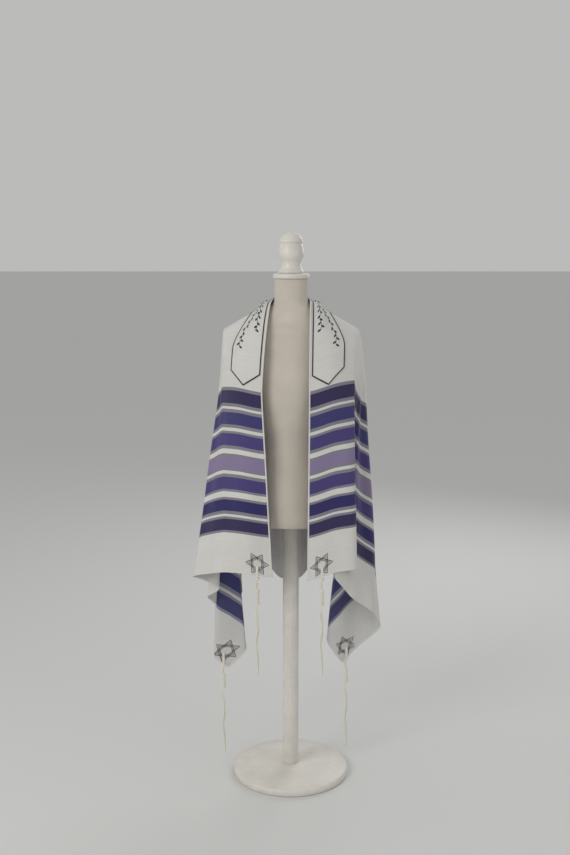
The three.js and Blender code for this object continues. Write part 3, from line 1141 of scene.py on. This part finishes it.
# ------------------------------------------------------------------ the neck band
@dataclass
class NeckBand:
    """The band sewn along the neck edge, outlined and embroidered in black."""

    near: float = 0.009
    far: float = 0.118
    square: float = 0.368
    point: float = 0.412
    floor: float = 0.0011
    thickness: float = 0.001
    columns: int = 180
    rows: int = 24
    outline_width: float = 0.0042
    outline_height: float = 0.0011
    stem_width: float = 0.0018
    stem_height: float = 0.0007
    stem_wave: float = 0.0022
    leaf_lean: float = 0.9
    leaf_height: float = 0.0009
    leaf_length: float = 0.0135
    leaf_width: float = 0.0066
    leaf_step: float = 0.0105
    vines: tuple[tuple[float, float], ...] = ((0.036, 0.238), (0.088, 0.296))

    def build(self) -> bpy.types.Object:
        """Builds the band, its outline and its sprigs.

        Returns:
            The object.
        """
        u, v = np.meshgrid(np.linspace(-1, 1, self.columns), np.linspace(-1, 1, self.rows), indexing="ij")
        reach = self.point + (self.square - self.point) * np.abs(v)
        s = u * reach
        t = (self.near + self.far) / 2 + v * (self.far - self.near) / 2
        middle = self.floor + self.thickness / 2
        places = DRAPE.surface(s.ravel(), t.ravel(), middle).reshape(*s.shape, 3)
        mesh = facing_out(grid_mesh(places, np.stack((s, t), axis=2)))
        cloth = WovenCloth().make(Face.RIGHT)
        band = new_piece("neck_band_cloth", mesh, [cloth], ["neck_band"])
        wall_of(band, self.thickness)
        self.outline()
        self.sprigs()
        return band

    def outline(self) -> bpy.types.Object:
        """The black satin line round the band's edge.

        Returns:
            The object.
        """
        middle = (self.near + self.far) / 2
        inset = self.outline_width / 2
        low, high, tip = self.near + inset, self.far - inset, self.point - inset
        corners = np.array(((-self.square, low), (self.square, low), (tip, middle),
                            (self.square, high), (-self.square, high), (-tip, middle)))
        mesh = raised_line(corners, self.outline_width, self.outline_height,
                           self.floor + self.thickness, True)
        thread = Yarn("black_satin_stitch", linear(36, 34, 36), 0.0009, 0.6)
        return new_piece("band_outline", mesh, [thread.make()])

    def sprigs(self) -> bpy.types.Object:
        """Two embroidered vines of leaves along the band, each right round the neck.

        Returns:
            The object.
        """
        floor = self.floor + self.thickness
        meshes = []
        for t, end in self.vines:
            count = int(2 * end / self.leaf_step)
            steps = np.linspace(-end, end, 4 * count + 1)
            wave = self.stem_wave * np.sin(steps * TAU / (4 * self.leaf_step))
            stem = np.stack((steps, t + wave), axis=1)
            meshes.append(raised_line(stem, self.stem_width, self.stem_height, floor))
            for n in range(count):
                root = stem[4 * n + 2]
                lean = self.leaf_lean if n % 2 else -self.leaf_lean
                meshes.append(self.leaf(root, lean if root[0] > 0 else math.pi - lean, floor))
        thread = Yarn("black_embroidery", linear(30, 28, 30), 0.0009, 0.6)
        return new_piece("band_sprigs", joined(meshes), [thread.make()])

    def leaf(self, root: Places, turn: float, floor: float) -> bmesh.types.BMesh:
        """One padded satin-stitch leaf, pointed at both ends.

        Args:
            root: the flat place of its stalk.
            turn: which way it points, in radians from the band's length.
            floor: its underside's distance from the cloth's middle.

        Returns:
            The mesh.
        """
        along, across = np.meshgrid(np.linspace(0, 1, 9), np.linspace(-1, 1, 7), indexing="ij")
        half = self.leaf_width / 2 * np.sin(np.pi * along) ** 0.8
        x, y = along * self.leaf_length, across * half
        s = root[0] + x * math.cos(turn) - y * math.sin(turn)
        t = root[1] + x * math.sin(turn) + y * math.cos(turn)
        crown = np.sqrt(np.clip(1 - across ** 2, 0, 1)) * np.sin(np.pi * along) ** 0.5
        rise = floor + self.leaf_height * crown
        places = DRAPE.surface(s.ravel(), t.ravel(), rise.ravel()).reshape(*s.shape, 3)
        return capped(grid_mesh(places, np.stack((x, y / self.leaf_width), axis=2), weld=1e-5))


# ------------------------------------------------------------------ the tassels
class Corner(Enum):
    """The shawl's corners: the sign of s, whether it is a rear corner, and its CAD node."""

    FRONT_LEFT = (-1, False, "tassel_front_left")
    FRONT_RIGHT = (1, False, "tassel_front_right")
    BACK_LEFT = (-1, True, "tassel_back_left")
    BACK_RIGHT = (1, True, "tassel_back_right")


@dataclass
class Tassel:
    """Eight strands knotted through a corner's hole, bound with five double knots."""

    corner: Corner
    length: float = 0.36
    diameter: float = 0.009
    above: float = 0.030
    inset: float = 0.047
    straddle: float = 0.0034
    strand: float = 0.00125
    strands: int = 8
    spread: float = 0.0024
    loose: float = 0.0034
    core: float = 0.0017
    zigzag: float = 0.0019
    knots: tuple[float, ...] = (0.040, 0.058, 0.078, 0.099, 0.122)
    windings: tuple[int, ...] = (5, 6, 7, 8)
    knot_reach: float = 0.0047
    winding_reach: float = 0.0031
    knot_turns: tuple[float, ...] = (0.6, 0.0, -0.6)
    knot_spin: float = 1.3
    knot_pitch: float = 0.0205
    knot_yarn: float = 1.3
    winding_yarn: float = 0.85
    loop: tuple[float, float, float] = (0.128, 0.205, 0.0027)
    twist: float = 5.0
    twist_varies: float = 1.5
    open_over: float = 0.05
    tie_over: float = 0.01
    leave_over: float = 0.008
    lift_over: float = 0.005
    stray_from: float = 0.01
    stray_until: float = 0.02
    taper: float = 0.3
    stagger: float = 0.02
    # How far the tassel strays sideways, at equal steps below the edge, in millimetres.
    sway: tuple[float, ...] = (-2, 3, -3, 2, 1, -2, 0, 2, 1)

    def route(self) -> Places:
        """The tassel's own line: straight down from the hole, past the edge and on.

        Returns:
            Its points, n by 3.
        """
        side, rear, _ = self.corner.value
        t = DRAPE.width - self.inset if rear else self.inset
        s = side * (DRAPE.half_length - self.above)
        hole = DRAPE.surface(np.array((s,)), np.array((t,)))[0]
        edge = hole - (0.0, 0.0, self.above)
        fall = self.length - self.above
        points = [hole, edge]
        for n, stray in enumerate(self.sway, 1):
            points.append(edge + np.array((stray * MM, 0.0, -fall * n / len(self.sway))))
        return rounded(points, 10)

    def build(self, yarn: bpy.types.Material) -> bpy.types.Object:
        """Args:
            yarn: the finish of all of it.

        Returns:
            The strands' object.
        """
        node = self.corner.value[2]
        path = self.route()
        run = run_along(path)
        strands = joined([self.one(path, run, n) for n in range(self.strands)])
        bundle = new_piece(f"{node}_strands", strands, [yarn], [node])
        binding = new_piece(f"{node}_binding", self.binding(path, run), [yarn])
        return bundle

    def one(self, path: Places, run: Places, number: int) -> bmesh.types.BMesh:
        """One of the strands, twisting slowly round the others and ending a little apart.

        Args:
            path: the tassel's own line.
            run: distances along it.
            number: the strand's number, which sets it out of step with the others.

        Returns:
            The mesh.
        """
        share = run / run[-1]
        free = np.clip((run - self.knots[-1]) / self.open_over, 0, 1)
        angle = number * TAU / self.strands
        angle = angle + share * (self.twist + self.twist_varies * math.sin(number * 2.3))
        angle = angle + 0.5 * np.sin(share * 9 + number * 1.7)
        tied = np.clip((run - self.above) / self.tie_over, 0, 1)
        bound = self.spread * (1 - tied) + self.core * tied
        loose = self.loose * (0.8 + 0.4 * np.sin(number * 4.1 + share * 7)) * (1.1 - 0.45 * share)
        reach = bound * (1 - free) + loose * free
        offset = np.stack((np.cos(angle) * reach, np.sin(angle) * reach, np.zeros_like(reach)), axis=1)
        offset = self.through_hole(offset, run, number)
        if self.corner is Corner.FRONT_RIGHT:
            start, end, bow = self.loop
            middle = np.clip((run - start) / (end - start), 0, 1)
            offset[:, 0] += (1 if number % 2 else -1) * bow * np.sin(np.pi * middle) ** 2
        offset[:, 0] += self.stray(run)
        keep = share <= 1.0 - self.stagger * (number % 2)
        return tube_mesh((path + offset)[keep], lambda f: self.strand * (1 - self.taper * f ** 3), 7)

    def through_hole(self, offset: Places, run: Places, number: int) -> Places:
        """Lays half of the strands on each face of the cloth, from the hole to past the edge.

        Args:
            offset: the strand's offsets from the route, n by 3.
            run: distances along the route.
            number: the strand's number.

        Returns:
            The offsets, changed where the strand lies on the cloth.
        """
        face = 1 if number % 2 else -1
        beside = (number // 2 - (self.strands // 2 - 1) / 2) * self.strand * 1.5
        lift = self.straddle * np.clip(run / self.lift_over, 0, 1)
        flat = np.stack((np.full_like(run, beside), face * lift, np.zeros_like(run)), axis=1)
        tied = np.clip((run - self.above) / self.leave_over, 0, 1)[:, None]
        return flat * (1 - tied) + offset * tied

    def stray(self, distance: Places) -> Places:
        """How far the tied part bends to and fro between its knots.

        Args:
            distance: distances along the route.

        Returns:
            Sideways shifts in metres.
        """
        tied = np.clip((distance - self.knots[0] + self.stray_from) / self.stray_from, 0, 1)
        tied = tied * np.clip((self.knots[-1] + self.stray_until - distance) / self.stray_until, 0, 1)
        return self.zigzag * tied * np.cos((distance - self.knots[0]) * math.pi / self.knot_pitch)

    def binding(self, path: Places, run: Places) -> bmesh.types.BMesh:
        """The windings between the knots, and the knots.

        Args:
            path: the tassel's own line.
            run: distances along it.

        Returns:
            The mesh.
        """
        def at(distance: float) -> Places:
            """The middle of the tied strands at a distance along the route."""
            point = np.array([np.interp(distance, run, path[:, k]) for k in range(3)])
            return point + np.array((float(self.stray(np.array(distance))), 0.0, 0.0))
        meshes = []
        for start, end, turns in zip(self.knots, self.knots[1:], self.windings):
            shares = np.linspace(0, 1, turns * 12 + 1)
            angle = shares * turns * TAU
            ring = np.stack((np.cos(angle), np.sin(angle), np.zeros_like(angle)), axis=1)
            core = np.array([at(start + (end - start) * f) for f in shares])
            meshes.append(tube_mesh(core + ring * self.winding_reach, self.strand * self.winding_yarn, 6))
        for number, place in enumerate(self.knots):
            for tilt in self.knot_turns:
                spin = Matrix.Rotation(number * self.knot_spin + tilt, 3, "Z")
                turns = spin @ Matrix.Rotation(tilt, 3, "X")
                ring = [at(place) + np.array(turns @ Vector((math.cos(a), math.sin(a), 0.3 * tilt)))
                        * self.knot_reach for a in np.linspace(0, TAU, 25)]
                meshes.append(tube_mesh(np.array(ring), self.strand * self.knot_yarn, 7))
        return joined(meshes)


# ------------------------------------------------------------------ the dress form
@dataclass
class DressForm:
    """The armless torso in jersey, its turned neck cap and finial, the pole and the base.

    The sections are height, half width, front depth and back depth, and the profiles are radius and
    height, all in millimetres.
    """

    sections: tuple[tuple[float, float, float, float], ...] = (
        (1641, 53, 53, 53), (1600, 53, 53, 53), (1572, 53, 53, 54), (1556, 63, 57, 59),
        (1535, 94, 63, 68), (1510, 134, 70, 77), (1485, 164, 76, 83), (1455, 178, 84, 89),
        (1415, 181, 94, 95), (1360, 173, 105, 101), (1290, 156, 113, 103), (1215, 137, 104, 100),
        (1140, 119, 91, 91), (1060, 126, 94, 98), (985, 138, 101, 106), (920, 144, 105, 110),
        (880, 143, 104, 109), (860, 138, 99, 102),
    )
    around: int = 120
    seam_turns: tuple[float, ...] = (0.0, 0.28, 0.36, 0.5, 0.64, 0.72, 0.86, 0.14)
    seam_depth: float = 0.0009
    seam_width: float = 0.004
    cap: tuple[tuple[float, float], ...] = (
        (0, 1641.5), (53, 1641.5), (55.5, 1642), (57, 1644), (57, 1652), (55.5, 1655), (53, 1656.6),
        (44, 1658), (0, 1658),
    )
    finial: tuple[tuple[float, float], ...] = (
        (39, 1658.5), (40, 1660), (40, 1663), (38.5, 1666), (35, 1670), (32, 1677), (30.4, 1684),
        (30, 1690), (32, 1696), (36, 1703), (39, 1710), (40, 1717), (39.4, 1727), (37.5, 1737),
        (35, 1745), (34, 1748.5), (35, 1751), (37, 1754), (36.6, 1759), (33.5, 1766), (27, 1774),
        (17, 1781), (7, 1784.4), (0, 1785),
    )
    pole_radius: float = 26
    pole_ends: tuple[float, float] = (32.5, 859.7)
    base: tuple[tuple[float, float], ...] = (
        (0, 0), (184, 0), (188, 1.5), (190, 5), (190, 17), (188.5, 21), (184, 24), (120, 27),
        (62, 29.5), (50, 31), (46, 32), (0, 32),
    )

    def build(self) -> list[bpy.types.Object]:
        """Builds every piece of the form and its stand.

        Returns:
            The torso, then the turned pieces.
        """
        paint = PaintedWood().make()
        tip = [(0, self.finial[0][1])] + [tuple(p) for p in rounded(self.finial, 3)]
        (bottom, top), radius = self.pole_ends, self.pole_radius
        pole = ((0, bottom), (radius, bottom), (radius, top), (0, top))
        pieces = [self.torso(Jersey().make())]
        for node, profile in (("neck_cap", self.cap), ("finial", tip), ("base", self.base), ("pole", pole)):
            pieces.append(self.wood(f"form_{node}", profile, paint, node))
        return pieces

    def wood(self, name: str, profile: Sequence[tuple[float, float]], paint: bpy.types.Material,
             node: str) -> bpy.types.Object:
        """A turned wooden piece.

        Args:
            name: the piece's name.
            profile: radius and height in millimetres.
            paint: its finish.
            node: the CAD node that it stands for.

        Returns:
            The object.
        """
        mesh = turned_mesh([(max(radius, 0) * MM, height * MM) for radius, height in profile])
        piece = new_piece(name, mesh, [paint], [node])
        return soft_edges(piece, 0.0006, 2, 50)

    def torso(self, jersey: bpy.types.Material) -> bpy.types.Object:
        """The torso: rounded level sections with shallow seams down its panels.

        Args:
            jersey: its finish.

        Returns:
            The object.
        """
        curve = rounded(self.sections, 7) * MM
        turns = np.linspace(0, 1, self.around + 1)
        places = np.zeros((len(curve), self.around + 1, 3))
        flat = np.zeros((len(curve), self.around + 1, 2))
        for n, (z, half, front, behind) in enumerate(curve):
            angle = turns * TAU
            depth = np.where(np.sin(angle) < 0, front, behind)
            groove = sum(np.exp(-(((turns - seam + 0.5) % 1 - 0.5) / self.seam_width) ** 2)
                         for seam in self.seam_turns)
            inward = 1 - groove * self.seam_depth / half
            places[n, :, 0] = half * np.cos(angle) * inward
            places[n, :, 1] = depth * np.sin(angle) * inward
            places[n, :, 2] = z
            flat[n, :, 0] = turns * TAU * half
            flat[n, :, 1] = z
        places[:, -1] = places[:, 0]
        mesh = capped(grid_mesh(places, flat))
        piece = new_piece("form_torso_jersey", mesh, [jersey], ["form_torso"])
        return soft_edges(piece, 0.003, 3, 60)


# ------------------------------------------------------------------ the studio
@dataclass(frozen=True)
class Lamp:
    """A soft square light: its width in metres, its power in watts and its colour."""

    name: str
    place: tuple[float, float, float]
    size: float
    power: float
    colour: tuple[float, float, float]


@dataclass
class Studio:
    """The camera, the pale floor and the soft lights."""

    camera_place: tuple[float, float, float] = (-0.019, -3.5, 1.76)
    camera_pitch: float = 9.58
    lens: float = 46.8
    aim: tuple[float, float, float] = (0, 0, 1.1)
    floor_reach: float = 60
    floor_colour: tuple[float, float, float] = (0.70, 0.70, 0.69)
    sky_colour: tuple[float, float, float] = (0.80, 0.80, 0.79)
    sky_strength: float = 0.62
    lamps: tuple[Lamp, ...] = (
        Lamp("key", (-2.6, -2.8, 2.7), 2.0, 58, (1.0, 0.985, 0.965)),
        Lamp("fill", (2.8, -2.6, 1.8), 2.6, 12, (0.97, 0.985, 1.0)),
        Lamp("back", (1.5, 2.8, 2.6), 2.0, 28, (1.0, 1.0, 1.0)),
    )

    def camera(self) -> None:
        """Sets the camera at the height of the finial, looking a little down."""
        data = bpy.data.cameras.new("camera")
        data.lens = self.lens
        data.sensor_width = 36.0
        camera = bpy.data.objects.new("camera", data)
        camera.location = self.camera_place
        camera.rotation_euler = (math.radians(90 - self.camera_pitch), 0, 0)
        bpy.context.collection.objects.link(camera)
        bpy.context.scene.camera = camera

    def light(self, lamp: Lamp) -> None:
        """Adds a lamp aimed at the shawl.

        Args:
            lamp: which lamp.
        """
        data = bpy.data.lights.new(lamp.name, "AREA")
        data.size = lamp.size
        data.energy = lamp.power
        data.color = lamp.colour
        light = bpy.data.objects.new(lamp.name, data)
        light.location = lamp.place
        beam = Vector(self.aim) - Vector(lamp.place)
        light.rotation_euler = beam.to_track_quat("-Z", "Y").to_euler()
        bpy.context.collection.objects.link(light)

    def build(self) -> None:
        """Lays the floor and sets the lights."""
        mesh = bmesh.new()
        bmesh.ops.create_grid(mesh, x_segments=8, y_segments=8, size=self.floor_reach)
        data = bpy.data.meshes.new("floor")
        mesh.to_mesh(data)
        mesh.free()
        floor = bpy.data.objects.new("floor", data)
        floor_paint = Nodes("pale_floor", 0.8)
        data.materials.append(floor_paint.finish(self.floor_colour))
        bpy.context.collection.objects.link(floor)
        world = bpy.data.worlds.new("studio")
        world.use_nodes = True
        background = world.node_tree.nodes["Background"]
        background.inputs["Color"].default_value = (*self.sky_colour, 1)
        background.inputs["Strength"].default_value = self.sky_strength
        bpy.context.scene.world = world
        for lamp in self.lamps:
            self.light(lamp)
        bpy.context.scene.view_settings.view_transform = "Standard"


def main() -> None:
    """Builds the camera and the cords, then the shawl, the form and the studio."""
    logging.basicConfig(level=logging.INFO, format="%(name)s: %(message)s")
    studio = Studio()
    studio.camera()
    yarn = Yarn("cream_yarn", linear(240, 235, 220), 0.0024, 0.9).make()
    for corner in Corner:
        Tassel(corner).build(yarn)
    Shawl().build()
    NeckBand().build()
    DressForm().build()
    studio.build()


if __name__ == "__main__":
    main()
